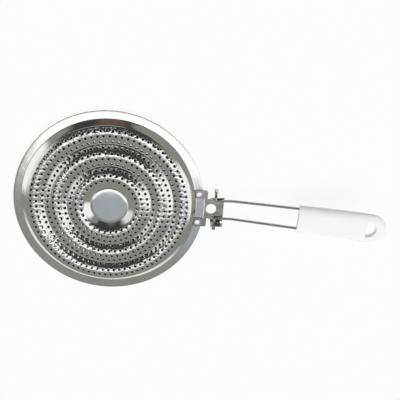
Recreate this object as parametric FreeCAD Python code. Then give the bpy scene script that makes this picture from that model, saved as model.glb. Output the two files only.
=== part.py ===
import FreeCAD, Part
import math
import os
from FreeCAD import Vector

# Simmer ring: two perforated, ridged steel pressings hemmed together at a flat rim, with a sheet bracket
# eyeletted to the rim and a folding handle made of one bent wire with a moulded grip over its far end.
# The origin is the disc's centre on the resting plane. +X runs along the handle, +Z is up.

# Disc, millimetres. Its ridges grow outwards from the first ring of holes, and the rim follows the last ridge.
sheet = 0.5
ring_pitch = 6.09
first_ring = 5
step_hole_count = 2
hole_w = 2.0
pattern_turn = 56.7
ridge_count = 3
ridge_ring_count = 4
ridge_h = 5.3
crest_land = 2.4
inner_shoulder_h = 4.1
outer_shoulder_h = 4.7
crease_h = 1.8
shoulder_run = 2.395
wall_run = 5.5
wall_top_h = 3.75
flange_w = 8.8
hem_width = 3.6
fold_run = 0.75
fold_gap = 0.05
centre_r = 20.0
centre_h = 1.5
centre_step = 0.6
centre_slope = 0.8

# Bracket, measured outwards from the rim
plate_t = 1.0
plate_half_w = 12.6
plate_reach = 21.6
rim_gap = 0.4
ear_inset = 7.4
ear_reach = 21.2
ear_h = 10.4
ear_splay = 20.0
bend_r = 1.0
notch_deep = 2.9
notch_low = 1.4
notch_high = 5.6
hook_out = 0.9
lug_half_w = 5.0
lug_reach = 3.3
lug_corner_r = 2.2
relief_r = 1.3
window_out = 7.8
window_r = 5.8

# Eyelets, measured inwards from the rim
eyelet_inset = 6.4
eyelet_y = 16.7
eyelet_r = 2.9
eyelet_bore_r = 2.45
eyelet_head_r = 3.7
eyelet_head_t = 0.55
eyelet_gap = 0.05

# Wire handle
wire_r = 1.55
hinge_out = 12.0
hinge_half_w = 10.5
stop_gap = 0.3
pivot_gap = 0.2
pin_reach = 24.4
pin_flat_from = 18.2
pin_flat_w = 2.15
pin_flat_t = 1.05
pin_end_taper = 0.85
hinge_bend_r = 1.8
kink_run = 19.2
kink_r = 9.0
rise_deg = 14.5
loop_half_w = 12.15
loop_bend_r = 3.2

# Grip, measured along the rising wire from the kink. Its hanging slot is measured back from the grip's end.
grip_start = 70.4
grip_length = 87.8
grip_start_w = 29.6
grip_end_w = 31.6
grip_t = 13.0
grip_round = 5.6
grip_front_round = 1.2
grip_fit = 0.05
slot_end_wall = 10.2
slot_length = 9.6
slot_half_w = 9.2
slot_wire_wall = 5.85

touch = 0.01
grip_end = grip_start + grip_length
slot_end = grip_end - slot_end_wall
slot_flat = slot_end - slot_length
loop_reach = slot_flat - slot_wire_wall - wire_r
crest_r = (first_ring + (ridge_count - 1) * ridge_ring_count + 0.5) * ring_pitch
ring_count = ridge_count * ridge_ring_count - 2
wall_top_r = crest_r + ring_pitch + shoulder_run
foot_r = wall_top_r + wall_run
rim_r = foot_r + flange_w
plate_end_x = rim_r + plate_reach
ear_start_x = rim_r + ear_inset
ear_end_x = rim_r + ear_reach
lug_end_x = rim_r + lug_reach
window_x = rim_r + window_out
eyelet_x = rim_r - eyelet_inset
hinge_x = rim_r + hinge_out
kink_x = hinge_x + kink_run
disc_h = 2 * (ridge_h + sheet)
seam_z = disc_h / 2
rim_top = seam_z + sheet
rim_under = seam_z - 2 * sheet
plate_top = rim_top + plate_t
hinge_z = plate_top + stop_gap + wire_r
spread = (loop_half_w - hinge_half_w) / (loop_reach + kink_x - hinge_x)


def polygon(points):
    return Part.Face(Part.makePolygon(points + [points[0]]))


def revolved(points):
    """Solid of revolution about Z from (radius, height) points."""
    return polygon([Vector(r, 0, z) for r, z in points]).revolve(Vector(), Vector(0, 0, 1), 360)


def prism(points, low, high):
    """Upright prism between two heights from (x, y) points."""
    return polygon([Vector(x, y, low) for x, y in points]).extrude(Vector(0, 0, high - low))


def mirrored(shape):
    """The same shape on the other side of the handle's middle plane."""
    return shape.mirror(Vector(), Vector(0, 1, 0))


def ridge_line():
    """Outer surface of one pressing as (radius, height above its flange), from the middle to the rim.

    Every bend circle lies midway between two rings of holes, so that no hole is punched across a bend. The
    outermost ridge has a narrow flat on its crest, which is what the disc and the pan rest on.
    """
    line = [(0, centre_h), (centre_r, centre_h), (centre_r + centre_slope, centre_h - centre_step)]
    for ridge in range(ridge_count - 1):
        first = first_ring + ridge * ridge_ring_count - 0.5
        line.append((first * ring_pitch, inner_shoulder_h))
        line.append(((first + 1) * ring_pitch, ridge_h))
        line.append(((first + 2) * ring_pitch, outer_shoulder_h))
        line.append(((first + 3) * ring_pitch, crease_h))
    line.append((crest_r - ring_pitch, inner_shoulder_h))
    line += [(crest_r - crest_land / 2, ridge_h), (crest_r + crest_land / 2, ridge_h)]
    line.append((crest_r + ring_pitch, outer_shoulder_h))
    return line + [(wall_top_r, wall_top_h), (foot_r, 0)]


def punch_ring(ring):
    """Punches of one ring, each a short sector as wide as it is long. All rings share one start angle.

    They are fewer than on the real sheet, and four-sided, to keep the solid light.
    """
    middle = ring * ring_pitch
    near = middle - hole_w / 2
    far = middle + hole_w / 2
    low = -sheet
    high = disc_h + sheet
    blank = polygon([Vector(near, 0, low), Vector(far, 0, low), Vector(far, 0, high), Vector(near, 0, high)])
    sweep = math.degrees(hole_w / middle)
    count = step_hole_count * ring
    punches = []
    for n in range(count):
        punch = blank.revolve(Vector(), Vector(0, 0, 1), sweep)
        punch.rotate(Vector(), Vector(0, 0, 1), pattern_turn + 360.0 * n / count - sweep / 2)
        punches.append(punch)
    return punches


def perforated(plate):
    """The pressing with its rings of holes and the two holes for the eyelets."""
    for ring in range(first_ring, first_ring + ring_count):
        plate = plate.cut(punch_ring(ring))
    return plate.cut(eyelet_holes())


def eyelet_holes():
    hole = Part.makeCylinder(eyelet_r + eyelet_gap, 4 * plate_t, Vector(eyelet_x, eyelet_y, rim_top - 2 * plate_t))
    return Part.makeCompound([hole, mirrored(hole)])


def bottom_plate():
    """Flame-side pressing: the same ridges facing down, its plain edge caught in the hem."""
    outer = [(r, seam_z - sheet - h) for r, h in ridge_line()]
    inner = [(r, z + sheet) for r, z in outer]
    edge = rim_r - fold_run - fold_gap
    return revolved(outer + [(edge, seam_z - sheet), (edge, seam_z)] + inner[::-1])


def top_plate():
    """Pan-side pressing: its edge folds round the bottom plate's edge and back under it."""
    outer = [(r, rim_top + h) for r, h in ridge_line()]
    inner = [(r, z - sheet) for r, z in outer]
    turn_r = rim_r - fold_run
    middle_z = (rim_top + rim_under) / 2
    hem = [(turn_r, rim_top), (rim_r, middle_z + sheet / 2), (rim_r, middle_z - sheet / 2), (turn_r, rim_under)]
    hem += [(rim_r - hem_width, rim_under), (rim_r - hem_width, rim_under + sheet), (turn_r, rim_under + sheet)]
    hem += [(rim_r - sheet, middle_z), (turn_r, rim_top - sheet)]
    return revolved(outer + hem + inner[::-1])


def ears():
    """Channel section of the bracket: two splayed ears with bend radii, cut to a notched outline."""
    lean = math.tan(math.radians(ear_splay))
    rise = ear_h * math.cos(math.radians(ear_splay))
    across = plate_t / math.cos(math.radians(ear_splay))
    outer_base = plate_half_w + across - plate_t * lean
    half = [Vector(ear_start_x, 0, plate_top), Vector(ear_start_x, plate_half_w, plate_top)]
    half.append(Vector(ear_start_x, plate_half_w + rise * lean, plate_top + rise))
    half.append(Vector(ear_start_x, plate_half_w + rise * lean + across, plate_top + rise))
    half += [Vector(ear_start_x, outer_base, rim_top), Vector(ear_start_x, 0, rim_top)]
    side = polygon(half).extrude(Vector(ear_end_x - ear_start_x, 0, 0))
    inside = [e for e in side.Edges if is_bend(e, plate_half_w, plate_top)]
    side = side.makeFillet(bend_r, inside)
    outside = [e for e in side.Edges if is_bend(e, outer_base, rim_top)]
    side = side.makeFillet(bend_r + plate_t, outside)
    side = side.cut(ear_trim())
    return side.fuse(mirrored(side))


def is_bend(edge, y, z):
    """True for an edge that runs along X at the given place."""
    ends = [v.Point for v in edge.Vertexes]
    if len(ends) < 2:
        return False
    return all(abs(p.y - y) < touch and abs(p.z - z) < touch for p in ends)


def ear_trim():
    """What is punched out of one ear, seen from the side: the lock notch, the hook above it and the pivot hole."""
    far_x = ear_end_x + notch_deep
    low = plate_top + notch_low
    high = plate_top + notch_high
    outline = [(ear_end_x - notch_deep, low), (far_x, low), (far_x, plate_top + 2 * ear_h)]
    outline += [(ear_end_x - hook_out, plate_top + 2 * ear_h), (ear_end_x - hook_out, high + 2 * hook_out)]
    outline += [(ear_end_x, high), (ear_end_x - notch_deep, high)]
    notch = polygon([Vector(x, 0, z) for x, z in outline]).extrude(Vector(0, 3 * plate_half_w, 0))
    pivot = Part.makeCylinder(wire_r + pivot_gap, 3 * plate_half_w, Vector(hinge_x, 0, hinge_z), Vector(0, 1, 0))
    return Part.makeCompound([notch, pivot])


def lug():
    """One rim lug, rounded at its free corners."""
    low = eyelet_y - lug_half_w
    outline = [(eyelet_x - lug_half_w, low), (lug_end_x, low), (lug_end_x, eyelet_y + lug_half_w)]
    outline.append((eyelet_x - lug_half_w, eyelet_y + lug_half_w))
    block = prism(outline, rim_top, plate_top)
    corners = [e for e in block.Edges if is_upright(e, eyelet_y + lug_half_w)]
    return block.makeFillet(lug_corner_r, corners)


def is_upright(edge, y):
    ends = [v.Point for v in edge.Vertexes]
    return abs(ends[0].x - ends[1].x) < touch and all(abs(p.y - y) < touch for p in ends)


def hinge_bracket():
    """One folded sheet: a flat plate outside the rim, two lugs on the rim and two ears for the wire."""
    inner_x = rim_r - lug_half_w
    wide = plate_half_w
    slim = plate_half_w - bend_r
    outline = [(inner_x, -wide), (ear_start_x - bend_r, -wide), (ear_start_x, -slim), (plate_end_x, -slim)]
    outline += [(x, -y) for x, y in outline[::-1]]
    plate = prism(outline, rim_top, plate_top)
    body = plate.fuse([lug(), mirrored(lug()), ears()]).removeSplitter()
    deep = 4 * plate_t
    base = rim_top - plate_t
    rim_cut = Part.makeCylinder(rim_r + rim_gap, deep, Vector(0, 0, base))
    between = Part.makeBox(rim_r, 2 * (eyelet_y - lug_half_w), deep, Vector(rim_r / 2, lug_half_w - eyelet_y, base))
    body = body.cut(rim_cut.common(between))
    body = body.cut(Part.makeCylinder(foot_r + rim_gap, deep, Vector(0, 0, base)))
    relief = Part.makeCylinder(relief_r, deep, Vector(lug_end_x + relief_r, plate_half_w, base))
    window = Part.makeCylinder(window_r, deep, Vector(window_x, 0, base))
    return body.cut([relief, mirrored(relief), window, eyelet_holes()]).removeSplitter()


def eyelet():
    """Tubular eyelet with a flat head above the lug and a rolled foot below the hem."""
    top = plate_top + eyelet_head_t
    low = rim_under - eyelet_head_t
    line = [(eyelet_bore_r, low), (eyelet_head_r, low), (eyelet_head_r, rim_under), (eyelet_r, rim_under)]
    line += [(eyelet_r, plate_top), (eyelet_head_r, plate_top), (eyelet_head_r, top), (eyelet_bore_r, top)]
    body = revolved(line)
    body.translate(Vector(eyelet_x, eyelet_y, 0))
    return body


def along(reach, side):
    """A point on the handle's middle surface: level up to the kink, rising after it."""
    rise = math.radians(rise_deg) if reach > 0 else 0.0
    return Vector(kink_x + reach * math.cos(rise), side, hinge_z + reach * math.sin(rise))


def rounded_path(points, radii):
    """Straight runs joined by tangent arcs."""
    edges = []
    start = points[0]
    for before, corner, after, radius in zip(points, points[1:], points[2:], radii):
        into = (corner - before).normalize()
        out = (after - corner).normalize()
        turn = into.getAngle(out)
        reach = radius * math.tan(turn / 2)
        first = corner - into * reach
        last = corner + out * reach
        inward = (out - into).normalize()
        middle = corner + inward * (radius / math.cos(turn / 2) - radius)
        edges.append(Part.LineSegment(start, first).toShape())
        edges.append(Part.Arc(first, middle, last).toShape())
        start = last
    edges.append(Part.LineSegment(start, points[-1]).toShape())
    return Part.Wire(edges)


def wire_solid(radius):
    """The round part of the wire: out through one ear, along a leg, round the loop and back."""
    hinge_reach = hinge_x - kink_x
    kink_side = hinge_half_w - hinge_reach * spread
    half = [along(hinge_reach, pin_flat_from), along(hinge_reach, hinge_half_w), along(0, kink_side)]
    half.append(along(loop_reach, loop_half_w))
    points = half + [Vector(p.x, -p.y, p.z) for p in half[::-1]]
    radii = [hinge_bend_r, kink_r, loop_bend_r, loop_bend_r, kink_r, hinge_bend_r]
    path = rounded_path(points, radii)
    ring = Part.Wire(Part.makeCircle(radius, points[0], Vector(0, 1, 0)))
    return path.makePipeShell([ring], True, False)


def flattened_pin():
    """The end of the wire, hammered wide so that it can't slip back through the ear."""
    place = Vector(hinge_x, pin_flat_from, hinge_z)
    wide_at = Vector(hinge_x, (pin_flat_from + pin_reach) / 2, hinge_z)
    end_at = Vector(hinge_x, pin_reach, hinge_z)
    sections = [Part.Wire(Part.makeCircle(wire_r, place, Vector(0, 1, 0)))]
    sections.append(flat_section(wide_at, 1.0))
    sections.append(flat_section(end_at, pin_end_taper))
    return Part.makeLoft(sections, True, True)


def flat_section(centre, scale):
    """Ellipse across the pin, wide along X and thin along Z."""
    wide = centre + Vector(pin_flat_w * scale, 0, 0)
    thin = centre + Vector(0, 0, pin_flat_t * scale)
    return Part.Wire(Part.Ellipse(wide, thin, centre).toShape())


def handle_wire():
    pin = flattened_pin()
    return wire_solid(wire_r).fuse([pin, mirrored(pin)]).removeSplitter()


def grip():
    """Moulded grip with a round end, a D-shaped hanging hole and the wire's loop buried inside it."""
    end_r = grip_end_w / 2
    turn_x = grip_end - end_r
    front = grip_start_w / 2
    low = -grip_t / 2
    corners = [Vector(grip_start, -front, low), Vector(turn_x, -end_r, low)]
    corners += [Vector(turn_x, end_r, low), Vector(grip_start, front, low)]
    edges = [Part.LineSegment(corners[0], corners[1]).toShape()]
    edges.append(Part.Arc(corners[1], Vector(grip_end, 0, low), corners[2]).toShape())
    edges.append(Part.LineSegment(corners[2], corners[3]).toShape())
    edges.append(Part.LineSegment(corners[3], corners[0]).toShape())
    body = Part.Face(Part.Wire(edges)).extrude(Vector(0, 0, grip_t))
    rims = [e for e in body.Edges if level(e) and max(v.Point.x for v in e.Vertexes) > turn_x - touch]
    body = body.makeFillet(grip_round, rims)
    body = body.cut(hanging_slot())
    face = [e for e in body.Edges if all(v.Point.x < grip_start + touch for v in e.Vertexes)]
    body = body.makeFillet(grip_front_round, face)
    body.rotate(Vector(), Vector(0, 1, 0), -rise_deg)
    body.translate(Vector(kink_x, 0, hinge_z))
    return body.cut(wire_solid(wire_r + grip_fit))


def level(edge):
    """True for an edge that lies in the grip's top or bottom face."""
    ends = [v.Point.z for v in edge.Vertexes]
    return len(ends) == 2 and abs(ends[0] - ends[1]) < touch and abs(abs(ends[0]) - grip_t / 2) < touch


def hanging_slot():
    """D-shaped hole, its straight side towards the disc."""
    low = -grip_t
    flat_low = Vector(slot_flat, -slot_half_w, low)
    flat_high = Vector(slot_flat, slot_half_w, low)
    arc = Part.Arc(flat_low, Vector(slot_end, 0, low), flat_high).toShape()
    side = Part.LineSegment(flat_high, flat_low).toShape()
    return Part.Face(Part.Wire([arc, side])).extrude(Vector(0, 0, 2 * grip_t))


def save(name, shape):
    shape.exportStep("parts/" + name + ".step")
    print(name, "solids", len(shape.Solids), "valid", shape.isValid(), "volume", round(shape.Volume, 1))


def build():
    os.makedirs("parts", exist_ok=True)
    save("top_plate", perforated(top_plate()))
    save("bottom_plate", perforated(bottom_plate()))
    save("hinge_bracket", hinge_bracket())
    left = eyelet()
    save("eyelet_left", left)
    save("eyelet_right", mirrored(left))
    save("handle_wire", handle_wire())
    save("grip", grip())


build()
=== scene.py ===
# %% [markdown]
# # A gas hob reducer ring
# The real object is a hollow disc of two pressed steel sheets with a folding wire handle. It spreads a gas
# flame under a pan. Its solids come in with their sizes and places, and every step after that gives them a
# finish, or puts a finer mesh in their place.

# %% Load the solids
import math
import bmesh
import bpy
from mathutils import Matrix, Vector


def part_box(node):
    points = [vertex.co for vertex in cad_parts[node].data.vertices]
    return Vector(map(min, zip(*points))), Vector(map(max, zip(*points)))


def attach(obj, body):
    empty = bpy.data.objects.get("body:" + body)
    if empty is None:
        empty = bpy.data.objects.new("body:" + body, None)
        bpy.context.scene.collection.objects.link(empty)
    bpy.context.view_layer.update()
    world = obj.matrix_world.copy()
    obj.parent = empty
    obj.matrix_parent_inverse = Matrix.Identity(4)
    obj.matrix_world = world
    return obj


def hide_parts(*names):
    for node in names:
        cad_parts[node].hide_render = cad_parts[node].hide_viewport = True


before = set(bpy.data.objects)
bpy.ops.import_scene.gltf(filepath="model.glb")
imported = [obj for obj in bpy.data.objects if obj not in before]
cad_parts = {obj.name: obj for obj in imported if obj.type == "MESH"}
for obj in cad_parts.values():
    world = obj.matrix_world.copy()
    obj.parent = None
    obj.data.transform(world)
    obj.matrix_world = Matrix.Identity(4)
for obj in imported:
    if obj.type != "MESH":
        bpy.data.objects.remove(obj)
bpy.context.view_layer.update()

MM = 0.001
print("nodes:", sorted(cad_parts))

# %% [markdown]
# The sheets' main heights are read from the solids, so that the meshes built here stay where the solids
# are. The two sheets meet in a seam halfway up the disc, and the ridges stand out from it to both sides.

# %% Measures taken from the solids
top_low, top_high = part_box("top_plate")
bottom_low, bottom_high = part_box("bottom_plate")
sheet_t = 0.5 * MM
rim_r = top_high.y
seam_z = (top_high.z + bottom_low.z) / 2
rim_top = seam_z + sheet_t
ridge_h = top_high.z - rim_top
print("rim radius mm", round(rim_r / MM, 2), "ridge height mm", round(ridge_h / MM, 2))

# %% [markdown]
# The camera stands above the disc and a little behind it, looking down at about 68 degrees. Its place was
# worked out from the rings of punched holes and the rim, with the rim taken as 210 mm across. A lens shift
# stands for the photograph being cropped off centre: it moves the picture sideways without turning the
# camera.

# %% Camera
camera_place = Vector((46.66, 191.35, 465.22)) * MM
camera_right = Vector((0.99909, 0.03951, 0.01615))
camera_up = Vector((-0.03072, 0.92826, -0.37066))
camera_forward = Vector((0.02964, -0.36983, -0.92863))
focal_px = 448.0
frame_px = 400.0
middle_px = 165.0

camera_data = bpy.data.cameras.new("camera")
camera_data.sensor_width = 36.0
camera_data.lens = focal_px / frame_px * camera_data.sensor_width
camera_data.shift_x = (frame_px / 2 - middle_px) / frame_px
camera_data.clip_start = 0.01
camera_data.clip_end = 20.0
camera = bpy.data.objects.new("camera", camera_data)
axes = Matrix((camera_right, camera_up, -camera_forward)).transposed().to_4x4()
camera.matrix_world = Matrix.Translation(camera_place) @ axes
bpy.context.scene.collection.objects.link(camera)
bpy.context.scene.camera = camera
print("lens mm", round(camera_data.lens, 2), "shift", round(camera_data.shift_x, 4))

# %% [markdown]
# Shaders are made of nodes joined by links. One short helper makes a node and fills its sockets, which
# keeps each material below down to the few lines that matter.

# %% Node helpers
def add_node(tree, kind, **values):
    """A new node. Names with a capital letter are sockets, the others are the node's own settings."""
    node = tree.nodes.new(kind)
    for name, value in values.items():
        if name[0].isupper():
            node.inputs[name.replace("_", " ")].default_value = value
        else:
            setattr(node, name, value)
    return node


def new_material(name):
    """An empty node material with its output, and the tree to build in."""
    material = bpy.data.materials.new(name)
    material.use_nodes = True
    tree = material.node_tree
    tree.nodes.clear()
    output = add_node(tree, "ShaderNodeOutputMaterial")
    return material, tree, output


# %% [markdown]
# The disc lies on a plain pale table. The table is white to the camera and in the metal's reflections, and
# a small share of it is an ordinary matt surface, which keeps a soft shadow under the object.

# %% Table
table_half = 6.0
table_drop = 0.2 * MM
table_matt = (0.72, 0.72, 0.73, 1)
shadow_share = 0.09


def make_table():
    bpy.ops.mesh.primitive_plane_add(size=2 * table_half, location=(0, 0, bottom_low.z - table_drop))
    table = bpy.context.object
    table.name = "table"
    material, tree, output = new_material("pale_table")
    matt = add_node(tree, "ShaderNodeBsdfDiffuse", Color=table_matt)
    white = add_node(tree, "ShaderNodeEmission", Color=(1, 1, 1, 1), Strength=1.0)
    path = add_node(tree, "ShaderNodeLightPath")
    seen = add_node(tree, "ShaderNodeMath", operation="MAXIMUM")
    seen_all = add_node(tree, "ShaderNodeMath", operation="MAXIMUM")
    share = add_node(tree, "ShaderNodeMath", operation="MULTIPLY")
    share.inputs[1].default_value = 1 - shadow_share
    mix = add_node(tree, "ShaderNodeMixShader")
    tree.links.new(path.outputs["Is Camera Ray"], seen.inputs[0])
    tree.links.new(path.outputs["Is Glossy Ray"], seen.inputs[1])
    tree.links.new(seen.outputs[0], seen_all.inputs[0])
    tree.links.new(path.outputs["Is Transmission Ray"], seen_all.inputs[1])
    tree.links.new(seen_all.outputs[0], share.inputs[0])
    tree.links.new(share.outputs[0], mix.inputs["Fac"])
    tree.links.new(matt.outputs[0], mix.inputs[1])
    tree.links.new(white.outputs[0], mix.inputs[2])
    tree.links.new(mix.outputs[0], output.inputs["Surface"])
    table.data.materials.append(material)
    return table


table = make_table()
print("table at z mm", round(table.location.z / MM, 2))

# %% [markdown]
# Bright metal has hardly any colour of its own: what shows is the room. So the room is designed, as a
# product photographer does it. Round panels stand to the left, to the right and low on the camera's side,
# each set by the direction of its middle, how wide it is and how soft its edge is. The ceiling has square
# patches: two dark ones over the camera's side with a pale strip and a brown patch in them, then a narrow
# bright one, and a blue-grey one beyond that. They are given in metres across a ceiling one metre up. All
# the rest is grey wall, and the camera itself sees only a pale backdrop.

# %% Room for the metal to reflect
wall_light = (0.285, 0.285, 0.265, 1)
backdrop = (0.96, 0.96, 0.97, 1)
least_rise = 0.001
panels = [
    {"towards": (0.0, 1.0, 0.12), "spread": 20, "edge": 5, "light": (1.0, 1.0, 1.0, 1)},
    {"towards": (-1.0, 0.1, 0.25), "spread": 20, "edge": 4, "light": (1.1, 1.1, 1.1, 1)},
    {"towards": (-1.0, 0.0, 0.90), "spread": 14, "edge": 6, "light": (0.90, 0.90, 0.89, 1)},
    {"towards": (1.0, -0.25, 0.95), "spread": 19, "edge": 4, "light": (1.1, 1.1, 1.09, 1)},
]
patches = [
    {"x": (-0.60, 0.42), "y": (-0.12, 2.2), "edge": 0.03, "light": (0.05, 0.05, 0.05, 1)},
    {"x": (-1.30, 0.42), "y": (0.35, 2.2), "edge": 0.05, "light": (0.05, 0.05, 0.05, 1)},
    {"x": (-0.90, 0.10), "y": (0.58, 0.72), "edge": 0.03, "light": (0.70, 0.70, 0.68, 1)},
    {"x": (-0.45, 0.25), "y": (1.20, 1.80), "edge": 0.10, "light": (0.15, 0.10, 0.08, 1)},
    {"x": (-0.24, 0.50), "y": (-0.54, -0.36), "edge": 0.04, "light": (0.40, 0.43, 0.46, 1)},
    {"x": (-0.30, 0.50), "y": (-0.36, -0.12), "edge": 0.02, "light": (1.30, 1.30, 1.30, 1)},
]


def paint_panel(tree, direction, below, panel):
    """Lays one panel over the light made so far, and returns the new light."""
    towards = Vector(panel["towards"]).normalized()
    near = add_node(tree, "ShaderNodeVectorMath", operation="DOT_PRODUCT")
    near.inputs[1].default_value = towards
    tree.links.new(direction, near.inputs[0])
    edge = add_node(tree, "ShaderNodeMapRange", interpolation_type="SMOOTHSTEP")
    edge.inputs["From Min"].default_value = math.cos(math.radians(panel["spread"] + panel["edge"]))
    edge.inputs["From Max"].default_value = math.cos(math.radians(panel["spread"] - panel["edge"]))
    tree.links.new(near.outputs["Value"], edge.inputs["Value"])
    return lay_over(tree, edge.outputs["Result"], below, panel["light"])


def lay_over(tree, share, below, light):
    """A mix of the light made so far and a new one."""
    mix = add_node(tree, "ShaderNodeMix", data_type="RGBA")
    mix.inputs[7].default_value = light
    tree.links.new(share, mix.inputs[0])
    tree.links.new(below, mix.inputs[6])
    return mix.outputs[2]


def within(tree, value, limits, edge):
    """One inside the limits and zero outside them, with a soft edge."""
    away = add_node(tree, "ShaderNodeMath", operation="SUBTRACT")
    away.inputs[1].default_value = sum(limits) / 2
    size = add_node(tree, "ShaderNodeMath", operation="ABSOLUTE")
    soft = add_node(tree, "ShaderNodeMapRange", interpolation_type="SMOOTHSTEP")
    half = (limits[1] - limits[0]) / 2
    soft.inputs["From Min"].default_value = half + edge
    soft.inputs["From Max"].default_value = half - edge
    tree.links.new(value, away.inputs[0])
    tree.links.new(away.outputs[0], size.inputs[0])
    tree.links.new(size.outputs[0], soft.inputs["Value"])
    return soft.outputs["Result"]


def times(tree, first, second):
    product = add_node(tree, "ShaderNodeMath", operation="MULTIPLY")
    tree.links.new(first, product.inputs[0])
    tree.links.new(second, product.inputs[1])
    return product.outputs[0]


def on_ceiling(tree, direction):
    """Where a direction meets a ceiling one metre up, as its X and its Y socket."""
    parts = add_node(tree, "ShaderNodeSeparateXYZ")
    up = add_node(tree, "ShaderNodeMath", operation="MAXIMUM")
    up.inputs[1].default_value = least_rise
    tree.links.new(direction, parts.inputs[0])
    tree.links.new(parts.outputs["Z"], up.inputs[0])
    places = []
    for axis in ("X", "Y"):
        share = add_node(tree, "ShaderNodeMath", operation="DIVIDE")
        tree.links.new(parts.outputs[axis], share.inputs[0])
        tree.links.new(up.outputs[0], share.inputs[1])
        places.append(share.outputs[0])
    return places


def make_room():
    world = bpy.data.worlds.new("room")
    bpy.context.scene.world = world
    world.use_nodes = True
    tree = world.node_tree
    tree.nodes.clear()
    output = add_node(tree, "ShaderNodeOutputWorld")
    place = add_node(tree, "ShaderNodeTexCoord")
    walls = add_node(tree, "ShaderNodeRGB")
    walls.outputs[0].default_value = wall_light
    light = walls.outputs[0]
    for panel in panels:
        light = paint_panel(tree, place.outputs["Generated"], light, panel)
    x, y = on_ceiling(tree, place.outputs["Generated"])
    for patch in patches:
        across = within(tree, x, patch["x"], patch["edge"])
        deep = within(tree, y, patch["y"], patch["edge"])
        light = lay_over(tree, times(tree, across, deep), light, patch["light"])
    room = add_node(tree, "ShaderNodeBackground")
    tree.links.new(light, room.inputs["Color"])
    plain = add_node(tree, "ShaderNodeBackground", Color=backdrop)
    path = add_node(tree, "ShaderNodeLightPath")
    mix = add_node(tree, "ShaderNodeMixShader")
    tree.links.new(path.outputs["Is Camera Ray"], mix.inputs["Fac"])
    tree.links.new(room.outputs[0], mix.inputs[1])
    tree.links.new(plain.outputs[0], mix.inputs[2])
    tree.links.new(mix.outputs[0], output.inputs["Surface"])


make_room()
bpy.context.scene.view_settings.view_transform = "Standard"
print("panels in the room:", len(panels))

# %% [markdown]
# A room that is dark in part lights white plastic too little. A soft sun lamp makes up for it. It stands
# overhead and a little to the far side, so the side of the grip that is nearer the camera is shaded. It is
# hidden from glossy rays, so it lights the matt surfaces and leaves no spot on the metal.

# %% Soft lamp for the matt surfaces
lamp_strength = 2.1
lamp_width_deg = 36
lamp_tilt_deg = (18, 5, 0)


def make_lamp():
    data = bpy.data.lights.new("soft_lamp", "SUN")
    data.energy = lamp_strength
    data.angle = math.radians(lamp_width_deg)
    lamp = bpy.data.objects.new("soft_lamp", data)
    lamp.rotation_euler = [math.radians(tilt) for tilt in lamp_tilt_deg]
    lamp.visible_glossy = False
    bpy.context.scene.collection.objects.link(lamp)
    return lamp


print("lamp:", make_lamp().name)

# %% [markdown]
# Each sheet is pressed into three round ridges that meet in sharp creases. Its form is the same all the
# way round, so one function of the radius gives every height. A ridge is an arc about its crest, and a
# crease lies where two arcs meet. Inside the ridges lies a nearly flat disc with a small step at its edge.

# %% Height of a sheet above the rim
crests = [34.3 * MM, 58.6 * MM, 82.9 * MM]
arc_r = 22.0 * MM
centre_r = 20.0 * MM
centre_h = 1.5 * MM
edge_from_r = 16.5 * MM
edge_drop = 0.16 * MM
step_r = 20.8 * MM
step_h = 0.9 * MM
cone_r = 27.3 * MM
break_r = 90.5 * MM
foot_r = 96.2 * MM


def ridge_height(r):
    away = min(abs(r - crest) for crest in crests)
    return ridge_h - (arc_r - math.sqrt(arc_r ** 2 - away ** 2))


def smooth(share):
    share = max(0.0, min(1.0, share))
    return share * share * (3 - 2 * share)


def sheet_height(r):
    """How far the outer face stands out from the rim at a radius."""
    if r <= centre_r:
        return centre_h - edge_drop * max(0.0, (r - edge_from_r) / (centre_r - edge_from_r)) ** 2
    if r <= step_r:
        drop = smooth((r - centre_r) / (step_r - centre_r))
        return centre_h - edge_drop + (step_h - centre_h + edge_drop) * drop
    if r <= cone_r:
        return step_h + (ridge_height(cone_r) - step_h) * (r - step_r) / (cone_r - step_r)
    if r <= break_r:
        return ridge_height(r)
    if r <= foot_r:
        return ridge_height(break_r) * (foot_r - r) / (foot_r - break_r)
    return 0.0


print("heights mm at 0, 34, 46, 83, 100:",
      [round(sheet_height(r * MM) / MM, 2) for r in (0, 34, 46, 83, 100)])

# %% [markdown]
# Ten rings of holes are punched through each sheet: thirty in the innermost ring and six more in every
# next one. A hole can't be cut out of a grid of squares cleanly, so each hole gets a cell of its own: a
# loop of points round the hole, joined to as many points round the cell's four sides. Two more loops close
# to the hole turn its edge inwards, as a punch does, and that is what makes each hole sparkle.

# %% One punched cell
ring_pitch = 6.09 * MM
rings = range(5, 15)
holes_per_step = 6
pattern_start = math.radians(56.7)
hole_r = 1.4 * MM
hole_points = 16
lip = [(1.0, -0.14 * MM), (1.1, -0.04 * MM), (1.3, 0.0)]
seam_gap = 0.28 * MM


def cell_edge(ring):
    """Radius of the border between a ring of cells and the next. It follows a crease where there is one."""
    plain = (ring + 0.5) * ring_pitch
    creases = [(a + b) / 2 for a, b in zip(crests, crests[1:])]
    near = [crease for crease in creases if abs(crease - plain) < ring_pitch / 4]
    return near[0] if near else plain


def sheet_point(mesh, r, turn, lift=0.0):
    """A new vertex on the sheet's outer face, or a little off it."""
    return mesh.verts.new((r * math.cos(turn), r * math.sin(turn), sheet_height(r) + lift))


def hole_loops(mesh, ring, turn, points):
    """The loops of one hole, from its edge outwards, each starting at the same corner of the cell."""
    middle = ring * ring_pitch
    loops = []
    for scale, lift in lip:
        loop = []
        for step in range(points):
            around = 2 * math.pi * step / points - 3 * math.pi / 4
            r = middle + hole_r * scale * math.cos(around)
            loop.append(sheet_point(mesh, r, turn + hole_r * scale * math.sin(around) / middle, lift))
        loops.append(loop)
    return loops


print("holes in one sheet:", sum(holes_per_step * ring for ring in rings))

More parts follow.
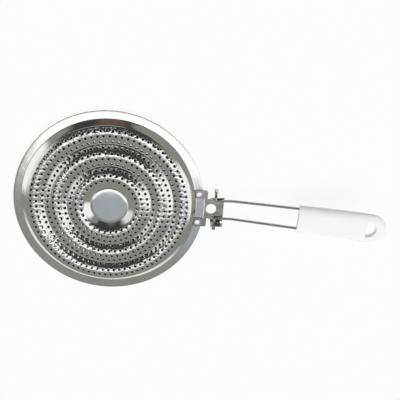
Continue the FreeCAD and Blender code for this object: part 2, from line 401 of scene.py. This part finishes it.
# %% [markdown]
# The sheet is put together from these cells, with plain round strips inside and outside them. Rings of
# cells have different numbers of points, so a strip between two circles walks round both at once and
# always advances the one that lags behind. The mesh is only the outer face at first: the Solidify modifier
# gives it the sheet's thickness and closes the walls of all the holes in one go.

# %% Building a sheet
def circle(mesh, r, height, count, start=pattern_start):
    """A closed loop of vertices at one height."""
    loop = []
    for step in range(count):
        turn = start + 2 * math.pi * step / count
        loop.append(mesh.verts.new((r * math.cos(turn), r * math.sin(turn), height)))
    return loop


def stitch(mesh, inner, outer):
    """A strip of triangles between two closed loops that may have different numbers of points."""
    i = 0
    j = 0
    while i < len(inner) or j < len(outer):
        a = inner[i % len(inner)]
        b = outer[j % len(outer)]
        if j >= len(outer) or (i < len(inner) and (i + 1) / len(inner) <= (j + 1) / len(outer)):
            mesh.faces.new((a, b, inner[(i + 1) % len(inner)]))
            i += 1
        else:
            mesh.faces.new((a, b, outer[(j + 1) % len(outer)]))
            j += 1


def ring_of_cells(mesh, ring, points):
    """Adds one ring of punched cells. Returns its inner and its outer border, which neighbours share."""
    count = holes_per_step * ring
    side = points // 4
    near_r = cell_edge(ring - 1) + seam_gap
    far_r = cell_edge(ring) - seam_gap
    start = pattern_start - math.pi / count
    inner = circle(mesh, near_r, sheet_height(near_r), count * side, start)
    outer = circle(mesh, far_r, sheet_height(far_r), count * side, start)
    walls = []
    for number in range(count):
        turn = start + 2 * math.pi * number / count
        between = [near_r + (far_r - near_r) * step / side for step in range(1, side)]
        wall = [inner[number * side]] + [sheet_point(mesh, r, turn) for r in between]
        walls.append(wall + [outer[number * side]])
    for number in range(count):
        turn = pattern_start + 2 * math.pi * number / count
        left = walls[number]
        right = walls[(number + 1) % count]
        first = number * side
        border = left[:-1] + outer[first:first + side] + right[:0:-1]
        border += [right[0]] + inner[first + 1:first + side][::-1]
        rows = hole_loops(mesh, ring, turn, points) + [border]
        for near, far in zip(rows, rows[1:]):
            for step in range(points):
                after = (step + 1) % points
                mesh.faces.new((near[step], far[step], far[after], near[after]))
    shift = side // 2
    return inner[shift:] + inner[:shift], outer[shift:] + outer[:shift]


borders = [holes_per_step * ring * hole_points // 4 for ring in rings[:2]]
print("points on the two borders that the first strip joins:", borders)

# %% [markdown]
# The pan-side sheet ends in a hem: its edge is rolled over the other sheet's plain edge and back under it.
# On the mesh, the hem is a half circle of points, squared a little so that its corners are fuller, and
# after it comes a short flat return.

# %% Outlines inside and outside the punched zone
fold_r = 0.75 * MM
hem_w = 3.6 * MM
turn_r = rim_r - fold_r
hem_steps = 8
hem_squareness = 0.5
hem_stops = (0.6, 1.0)
centre_radii = [25.2, 23.1, 21.5, 20.95, 20.8, 20.65, 20.5, 20.35, 20.2, 20.05, 19.8]
centre_radii += [19.2, 18.5, 17.8, 17.0, 16.5, 15.0, 9.0, 3.5]
wall_radii = [89.4, 90.3, 90.7, 92.5, 94.5, 95.7, 96.05, 96.35, 96.8, 98.4, 100.2, 102.2]


def hem_line():
    """(radius, height) points of the rolled edge, from the rim's top face round to its underside."""
    line = []
    for step in range(hem_steps + 1):
        turn = math.pi * step / hem_steps
        out = abs(math.sin(turn)) ** hem_squareness
        up = math.copysign(abs(math.cos(turn)) ** hem_squareness, math.cos(turn))
        line.append((turn_r + fold_r * out, fold_r * (up - 1)))
    return line + [(rim_r - hem_w * stop, -2 * fold_r) for stop in hem_stops]


def sheet_mesh(edge_line):
    """The outer face of one sheet, from the middle to the end of its edge, as a bmesh."""
    mesh = bmesh.new()
    first_inner = None
    last = None
    for ring in rings:
        inner, outer = ring_of_cells(mesh, ring, hole_points)
        if last:
            stitch(mesh, last, inner)
        else:
            first_inner = inner
        last = outer
    wall_line = [(radius * MM, sheet_height(radius * MM)) for radius in wall_radii]
    for r, height in wall_line + edge_line:
        loop = circle(mesh, r, height, len(last))
        stitch(mesh, last, loop)
        last = loop
    last = first_inner
    for r in [radius * MM for radius in centre_radii]:
        loop = circle(mesh, r, sheet_height(r), len(last))
        stitch(mesh, loop, last)
        last = loop
    middle = mesh.verts.new((0, 0, sheet_height(0)))
    for here, after in zip(last, last[1:] + last[:1]):
        mesh.faces.new((middle, here, after))
    return mesh


print("hem points:", len(hem_line()))

# %% [markdown]
# Two eyelets go through the rim, so both sheets need holes for them. A Boolean modifier cuts two cylinders
# out of the finished sheet. It works here because Solidify has already made the sheet a closed body.

# %% Eyelet holes and the finished sheet object
eyelet_low, eyelet_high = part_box("eyelet_left")
eyelet_middle = (eyelet_low + eyelet_high) / 2
eyelet_hole_r = 2.95 * MM
cutter_depth = 8 * MM
round_steps = 40
sheet_sharp = math.radians(38)


def apply_modifiers(piece):
    """Turns the piece's modifiers into plain mesh."""
    graph = bpy.context.evaluated_depsgraph_get()
    made = bpy.data.meshes.new_from_object(piece.evaluated_get(graph))
    piece.modifiers.clear()
    old = piece.data
    piece.data = made
    bpy.data.meshes.remove(old)


def eyelet_cutter():
    mesh = bmesh.new()
    for side in (-1, 1):
        place = Matrix.Translation((eyelet_middle.x, side * eyelet_middle.y, eyelet_middle.z))
        size = {"radius1": eyelet_hole_r, "radius2": eyelet_hole_r, "depth": cutter_depth}
        bmesh.ops.create_cone(mesh, cap_ends=True, segments=round_steps, matrix=place, **size)
    data = bpy.data.meshes.new("eyelet_cutter")
    mesh.to_mesh(data)
    mesh.free()
    cutter = bpy.data.objects.new("eyelet_cutter", data)
    bpy.context.scene.collection.objects.link(cutter)
    return cutter


def sheet_object(name, edge_line, flip):
    """One finished sheet: thickness added, eyelet holes cut, moved to its side of the seam."""
    mesh = sheet_mesh(edge_line)
    side = -1 if flip else 1
    offset = seam_z + side * sheet_t
    for vertex in mesh.verts:
        vertex.co.z = offset + side * vertex.co.z
    if flip:
        bmesh.ops.reverse_faces(mesh, faces=mesh.faces[:])
    data = bpy.data.meshes.new(name)
    mesh.to_mesh(data)
    mesh.free()
    piece = bpy.data.objects.new(name, data)
    bpy.context.scene.collection.objects.link(piece)
    for _ in ("outside", "inside"):
        data.materials.append(None)
    thick = piece.modifiers.new("thickness", "SOLIDIFY")
    thick.thickness = sheet_t
    thick.offset = -1
    thick.material_offset = 1
    thick.material_offset_rim = 1
    cutter = eyelet_cutter()
    cut = piece.modifiers.new("eyelets", "BOOLEAN")
    cut.object = cutter
    cut.solver = "EXACT"
    apply_modifiers(piece)
    bpy.data.objects.remove(cutter)
    for face in piece.data.polygons:
        face.use_smooth = True
    piece.data.set_sharp_from_angle(angle=sheet_sharp)
    return piece


pan_side = sheet_object("pan_side_sheet", hem_line(), False)
print("pan-side sheet faces:", len(pan_side.data.polygons))

# %% [markdown]
# The flame-side sheet is the same pressing, mirrored to the other side of the seam. Its edge is left plain,
# because it ends inside the other sheet's hem.

# %% Flame-side sheet
flame_edge_r = 104.2 * MM
flame_side = sheet_object("flame_side_sheet", [(flame_edge_r, 0.0)], True)
print("flame-side sheet faces:", len(flame_side.data.polygons))

# %% [markdown]
# An eyelet is a short tube whose two ends are rolled outwards. Its outline is a few points with rounded
# heads, and turning that outline about the eyelet's axis makes the whole ring.

# %% Eyelets
eyelet_bore_r = 2.45 * MM
eyelet_body_r = 2.9 * MM
eyelet_head_r = (eyelet_high.x - eyelet_low.x) / 2
eyelet_head_t = 0.55 * MM
head_steps = 6
eyelet_sharp = math.radians(40)


def eyelet_outline():
    """(radius, height from the middle) round the eyelet's section, both heads rounded."""
    half = (eyelet_high.z - eyelet_low.z) / 2
    line = []
    for side in (1, -1):
        head = []
        roll = (eyelet_head_r - eyelet_bore_r) / 2
        for step in range(head_steps * 2 + 1):
            turn = math.pi * step / (2 * head_steps)
            r = eyelet_bore_r + roll * (1 - math.cos(turn))
            head.append((r, side * (half - eyelet_head_t * (1 - math.sin(turn)))))
        head.append((eyelet_body_r, side * (half - eyelet_head_t)))
        line += head if side > 0 else head[::-1]
    return line


def eyelet_ring(name, side):
    mesh = bmesh.new()
    outline = eyelet_outline()
    loops = []
    for r, height in outline:
        loop = circle(mesh, r, eyelet_middle.z + height, round_steps)
        for vertex in loop:
            vertex.co.x += eyelet_middle.x
            vertex.co.y += side * eyelet_middle.y
        loops.append(loop)
    for near, far in zip(loops, loops[1:] + loops[:1]):
        stitch(mesh, near, far)
    bmesh.ops.recalc_face_normals(mesh, faces=mesh.faces[:])
    data = bpy.data.meshes.new(name)
    mesh.to_mesh(data)
    mesh.free()
    for face in data.polygons:
        face.use_smooth = True
    data.set_sharp_from_angle(angle=eyelet_sharp)
    piece = bpy.data.objects.new(name, data)
    bpy.context.scene.collection.objects.link(piece)
    return piece


left_ring = eyelet_ring("left_eyelet_ring", 1)
right_ring = eyelet_ring("right_eyelet_ring", -1)
print("eyelet outline points:", len(eyelet_outline()))

# %% [markdown]
# The grip is a moulded bar with full, round sides and a round end. It is drawn from above as one outline,
# and layers of that outline are stacked, each a little smaller towards the top and bottom, so the sides
# come out round. Its upper face stays almost straight, and its underside rises to the end, where the grip
# is only a ring round the hanging slot: from the camera, hardly any of the slot's inner wall shows.

# %% Grip outline
grip_from = 70.4 * MM
grip_to = 158.2 * MM
grip_half = 6.5 * MM
side_r = 5.6 * MM
side_w = 8.4 * MM
front_r = 1.2 * MM
front_half_w = 14.8 * MM
end_half_w = 15.8 * MM
side_steps = 24
end_steps = 16
thin_from = 110.0 * MM
thin_to = 150.0 * MM
thin_share = 0.6
thin_middle = 0.85 * grip_half
kink_x = 136.2 * MM
wire_z = 9.15 * MM
rise = math.radians(14.5)


def grip_place(along, across, up):
    """A point on the rising handle, from distances along it, across it and off its middle surface."""
    x = kink_x + along * math.cos(rise) - up * math.sin(rise)
    return (x, across, wire_z + along * math.sin(rise) + up * math.cos(rise))


def grip_outline(inset):
    """One side of the grip seen from above, from its front corner to its tip."""
    turn_at = grip_to - end_half_w
    points = []
    for step in range(side_steps):
        share = step / side_steps
        width = front_half_w + (end_half_w - front_half_w) * share
        points.append((grip_from + (turn_at - grip_from) * share, width - inset))
    for step in range(end_steps + 1):
        turn = math.pi / 2 * (1 - step / end_steps)
        radius = end_half_w - inset
        points.append((turn_at + radius * math.cos(turn), radius * math.sin(turn)))
    return points


def thinner(along):
    """Share of the full thickness at a place along the grip."""
    return 1 - (1 - thin_share) * smooth((along - thin_from) / (thin_to - thin_from))


print("points on one side of the grip:", len(grip_outline(0)))

# %% [markdown]
# Each layer has a height, and an inset at its sides and at its front. The side insets follow a quarter of an
# ellipse, so the sides swell out between the two faces. Both sides of every layer have the same points, so
# the top and bottom faces are just strips across from one side to the other.

# %% Layers of the grip
layer_steps = 7


def grip_layers():
    """(height off the middle surface, inset of the sides, inset of the front) of each layer, from below."""
    straight = grip_half - side_r
    layers = []
    for side in (-1, 1):
        for step in range(layer_steps + 1):
            turn = math.pi / 2 * (1 - step / layer_steps if side < 0 else step / layer_steps)
            up = straight + side_r * math.sin(turn)
            deep = max(0.0, up - (grip_half - front_r))
            front = front_r - math.sqrt(max(0.0, front_r ** 2 - deep ** 2))
            layers.append((side * up, side_w * (1 - math.cos(turn)), front))
    return layers


def grip_layer(mesh, up, inset, front):
    left = []
    right = []
    for along, across in grip_outline(inset):
        along = max(along, grip_from + front)
        height = thin_middle + (up - thin_middle) * thinner(along)
        left.append(mesh.verts.new(grip_place(along, across, height)))
        right.append(mesh.verts.new(grip_place(along, -across, height)))
    mesh.verts.remove(right[-1])
    right[-1] = left[-1]
    return left, right


print("layers of the grip:", len(grip_layers()))

# %% [markdown]
# The hanging slot is D-shaped, with its flat side towards the wire. A Boolean will cut it with this block,
# which is a little wider below, as a mould needs it.

# %% Block for the hanging slot
slot_flat = 139.0 * MM
slot_end = 149.0 * MM
slot_half_w = 9.2 * MM
slot_fullness = 0.8
slot_draft = 1.03
slot_steps = 20
block_half = 2 * grip_half


def slot_cutter():
    """D-shaped block for the hanging slot, wider at the bottom."""
    mesh = bmesh.new()
    middle = (slot_flat + slot_end) / 2
    loops = []
    for up, scale in ((-block_half, slot_draft), (block_half, 1 / slot_draft)):
        loop = []
        for step in range(slot_steps + 1):
            turn = math.pi * (step / slot_steps - 0.5)
            along = slot_flat + (slot_end - slot_flat) * abs(math.cos(turn)) ** slot_fullness
            across = slot_half_w * math.sin(turn)
            loop.append(mesh.verts.new(grip_place(middle + (along - middle) * scale, across * scale, up)))
        loops.append(loop)
        mesh.faces.new(loop)
    stitch(mesh, loops[0], loops[1])
    bmesh.ops.recalc_face_normals(mesh, faces=mesh.faces[:])
    data = bpy.data.meshes.new("slot_cutter")
    mesh.to_mesh(data)
    mesh.free()
    cutter = bpy.data.objects.new("slot_cutter", data)
    bpy.context.scene.collection.objects.link(cutter)
    return cutter


print("slot length mm", round((slot_end - slot_flat) / MM, 1))

# %% [markdown]
# The layers are joined into a closed body, the slot is cut, and a small Bevel rounds its mouth. Boolean and
# Bevel leave a few points that nearly meet. Merging them keeps the mesh clean for whoever uses it next.

# %% Grip with its hanging slot
mouth_r = 0.7 * MM
mouth_steps = 3
mouth_angle = math.radians(55)
sliver = 0.03 * MM
grip_sharp = math.radians(40)


def merge_slivers(data):
    """Merges points that nearly meet, which a Boolean and a Bevel leave behind."""
    mesh = bmesh.new()
    mesh.from_mesh(data)
    bmesh.ops.remove_doubles(mesh, verts=mesh.verts[:], dist=sliver)
    bmesh.ops.dissolve_degenerate(mesh, edges=mesh.edges[:], dist=sliver)
    mesh.to_mesh(data)
    mesh.free()


def grip_piece():
    mesh = bmesh.new()
    layers = [grip_layer(mesh, *layer) for layer in grip_layers()]
    for (left, right), (left_up, right_up) in zip(layers, layers[1:]):
        for side, above in ((left, left_up), (right, right_up)):
            for step in range(len(side) - 1):
                mesh.faces.new((side[step], side[step + 1], above[step + 1], above[step]))
        mesh.faces.new((left[0], left_up[0], right_up[0], right[0]))
    for left, right in (layers[0], layers[-1]):
        for step in range(len(left) - 2):
            mesh.faces.new((left[step], left[step + 1], right[step + 1], right[step]))
        mesh.faces.new((left[-2], left[-1], right[-2]))
    bmesh.ops.recalc_face_normals(mesh, faces=mesh.faces[:])
    data = bpy.data.meshes.new("moulded_grip")
    mesh.to_mesh(data)
    mesh.free()
    piece = bpy.data.objects.new("moulded_grip", data)
    bpy.context.scene.collection.objects.link(piece)
    cutter = slot_cutter()
    cut = piece.modifiers.new("slot", "BOOLEAN")
    cut.object = cutter
    cut.solver = "EXACT"
    mouth = piece.modifiers.new("mouth", "BEVEL")
    mouth.width = mouth_r
    mouth.segments = mouth_steps
    mouth.angle_limit = mouth_angle
    apply_modifiers(piece)
    bpy.data.objects.remove(cutter)
    merge_slivers(piece.data)
    for face in piece.data.polygons:
        face.use_smooth = True
    piece.data.set_sharp_from_angle(angle=grip_sharp)
    return piece


moulded_grip = grip_piece()
print("grip faces:", len(moulded_grip.data.polygons))

# %% [markdown]
# The sheets are bright plated steel. Pressing leaves their faces very slightly wavy, and handling leaves
# hairline marks and patches that are a little duller. Three noises at different scales make them: one
# drives the roughness and two the bump, so no patch of the metal reflects the room quite like the next one.
# A fourth adds small dents, only where the sheet is punched.

# %% Bright plated sheet
patch_scale = 0.6
patch_low = 0.35
patch_high = 0.7
dull_least = 0.7
dull_most = 1.6
zone_edge = 0.8 * MM


def dented(tree, place, normal_node, low_r, high_r, dent_scale, dent):
    """Small dents where the sheet was punched: a bump that only works between two radii."""
    parts = add_node(tree, "ShaderNodeSeparateXYZ")
    flat = add_node(tree, "ShaderNodeCombineXYZ")
    radius = add_node(tree, "ShaderNodeVectorMath", operation="LENGTH")
    noise = add_node(tree, "ShaderNodeTexNoise", Scale=dent_scale, Detail=1.0)
    bump = add_node(tree, "ShaderNodeBump", Strength=dent, Distance=0.001)
    tree.links.new(place, parts.inputs[0])
    tree.links.new(place, noise.inputs["Vector"])
    for axis in ("X", "Y"):
        tree.links.new(parts.outputs[axis], flat.inputs[axis])
    tree.links.new(flat.outputs[0], radius.inputs[0])
    zone = within(tree, radius.outputs["Value"], (low_r, high_r), zone_edge)
    tree.links.new(times(tree, noise.outputs["Fac"], zone), bump.inputs["Height"])
    tree.links.new(normal_node.outputs["Normal"], bump.inputs["Normal"])
    return bump


def bright_metal(name, colour, rough, wave_scale, wave, mark_scale, mark, punched=None):
    """Metal with gentle waves, fine marks and patches of duller finish."""
    material, tree, output = new_material(name)
    metal = add_node(tree, "ShaderNodeBsdfPrincipled", Base_Color=colour, Metallic=1.0)
    place = add_node(tree, "ShaderNodeTexCoord")
    duller = add_node(tree, "ShaderNodeTexNoise", Scale=wave_scale * patch_scale, Detail=3.0)
    dullness = add_node(tree, "ShaderNodeMapRange", From_Min=patch_low, From_Max=patch_high,
                        To_Min=rough * dull_least, To_Max=rough * dull_most)
    waves = add_node(tree, "ShaderNodeTexNoise", Scale=wave_scale, Detail=1.5)
    marks = add_node(tree, "ShaderNodeTexNoise", Scale=mark_scale, Detail=5.0, Roughness=0.7)
    wave_bump = add_node(tree, "ShaderNodeBump", Strength=wave, Distance=0.001)
    mark_bump = add_node(tree, "ShaderNodeBump", Strength=mark, Distance=0.0001)
    for noise in (duller, waves, marks):
        tree.links.new(place.outputs["Object"], noise.inputs["Vector"])
    tree.links.new(duller.outputs["Fac"], dullness.inputs["Value"])
    tree.links.new(dullness.outputs["Result"], metal.inputs["Roughness"])
    tree.links.new(waves.outputs["Fac"], wave_bump.inputs["Height"])
    tree.links.new(marks.outputs["Fac"], mark_bump.inputs["Height"])
    tree.links.new(wave_bump.outputs["Normal"], mark_bump.inputs["Normal"])
    last = mark_bump
    if punched:
        last = dented(tree, place.outputs["Object"], mark_bump, **punched)
    tree.links.new(last.outputs["Normal"], metal.inputs["Normal"])
    tree.links.new(metal.outputs[0], output.inputs["Surface"])
    return material


punched_zone = {"low_r": 33 * MM, "high_r": 88 * MM, "dent_scale": 330.0, "dent": 0.34}
plated_sheet = bright_metal("plated_sheet", (0.80, 0.80, 0.79, 1), rough=0.09, wave_scale=60.0, wave=0.10,
                            mark_scale=2500.0, mark=0.15, punched=punched_zone)
plated_eyelet = bright_metal("plated_eyelet", (0.78, 0.78, 0.78, 1), rough=0.16, wave_scale=400.0, wave=0.1,
                             mark_scale=4000.0, mark=0.2)
drawn_wire = bright_metal("drawn_wire", (0.55, 0.54, 0.52, 1), rough=0.13, wave_scale=300.0, wave=0.08,
                          mark_scale=5000.0, mark=0.2)
folded_sheet = bright_metal("folded_sheet", (0.44, 0.42, 0.405, 1), rough=0.15, wave_scale=200.0, wave=0.1,
                            mark_scale=3000.0, mark=0.3)
print("metals:", plated_sheet.name, plated_eyelet.name, drawn_wire.name, folded_sheet.name)

# %% [markdown]
# Hardly any light gets into the hollow between the sheets, and that is why the holes look black. The plating
# there is dull. The inside faces and the walls of the holes get a near-black colour that is painted shade,
# varied by random stains.

# %% Inside in painted shade
# Near-black colours that paint the shade in the hollow; the noise between them stands for random stains.
shade_and_stain_tints = [(0.012, 0.011, 0.010, 1), (0.035, 0.032, 0.028, 1)]


def tint_between(tree, share, tints):
    """A colour between two tints, moved from the first to the second by a value."""
    tint = add_node(tree, "ShaderNodeMix", data_type="RGBA")
    tint.inputs[6].default_value = tints[0]
    tint.inputs[7].default_value = tints[1]
    tree.links.new(share, tint.inputs[0])
    return tint.outputs[2]


# The inside's dark colour is painted shade, not the plating's own colour.
def shade_painted_inside_metal():
    material, tree, output = new_material("painted_shade_inside")
    metal = add_node(tree, "ShaderNodeBsdfPrincipled", Metallic=0.6, Roughness=0.6)
    place = add_node(tree, "ShaderNodeTexCoord")
    stains = add_node(tree, "ShaderNodeTexNoise", Scale=150.0, Detail=4.0)
    tree.links.new(place.outputs["Object"], stains.inputs["Vector"])
    tree.links.new(tint_between(tree, stains.outputs["Fac"], shade_and_stain_tints), metal.inputs["Base Color"])
    tree.links.new(metal.outputs[0], output.inputs["Surface"])
    return material


painted_shade_inside = shade_painted_inside_metal()
print("inside finish:", painted_shade_inside.name)

# %% [markdown]
# The grip is white plastic with a soft gloss. Light enters such plastic a little way before it comes back
# out, which softens its shading, and a mould leaves its face faintly uneven.

# %% White plastic
plastic_tints = [(0.90, 0.89, 0.91, 1), (0.94, 0.93, 0.95, 1)]


def white_plastic():
    material, tree, output = new_material("white_plastic")
    plastic = add_node(tree, "ShaderNodeBsdfPrincipled", Roughness=0.34, IOR=1.5, Specular_IOR_Level=0.25,
                       Coat_Weight=0.08, Coat_Roughness=0.1, Subsurface_Weight=0.08, Subsurface_Scale=0.002)
    place = add_node(tree, "ShaderNodeTexCoord")
    clouds = add_node(tree, "ShaderNodeTexNoise", Scale=120.0, Detail=2.0)
    bump = add_node(tree, "ShaderNodeBump", Strength=0.08, Distance=0.0005)
    tree.links.new(place.outputs["Object"], clouds.inputs["Vector"])
    tree.links.new(tint_between(tree, clouds.outputs["Fac"], plastic_tints), plastic.inputs["Base Color"])
    tree.links.new(clouds.outputs["Fac"], bump.inputs["Height"])
    tree.links.new(bump.outputs["Normal"], plastic.inputs["Normal"])
    tree.links.new(plastic.outputs[0], output.inputs["Surface"])
    return material


grip_plastic = white_plastic()
print("plastic:", grip_plastic.name)

# %% [markdown]
# Every piece now gets its finish. The pieces built here are tied to the body that they move with and stand
# for the plain solids in the same place, and the bracket and the wire keep their own shapes.

# %% Finishes and bodies
def dress(piece, finishes):
    """Fills the piece's material slots in order."""
    while len(piece.data.materials) < len(finishes):
        piece.data.materials.append(None)
    for slot, finish in enumerate(finishes):
        piece.data.materials[slot] = finish


for piece, node, body, finishes, slot in [
    (pan_side, "top_plate", "disc", [plated_sheet, painted_shade_inside], "plated_steel"),
    (flame_side, "bottom_plate", "disc", [plated_sheet, painted_shade_inside], "plated_steel"),
    (left_ring, "eyelet_left", "disc", [plated_eyelet], "eyelet_steel"),
    (right_ring, "eyelet_right", "disc", [plated_eyelet], "eyelet_steel"),
    (moulded_grip, "grip", "handle", [grip_plastic], "white_grip"),
]:
    dress(piece, finishes)
    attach(piece, body)
    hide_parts(node)

dress(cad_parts["hinge_bracket"], [folded_sheet])
dress(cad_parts["handle_wire"], [drawn_wire])
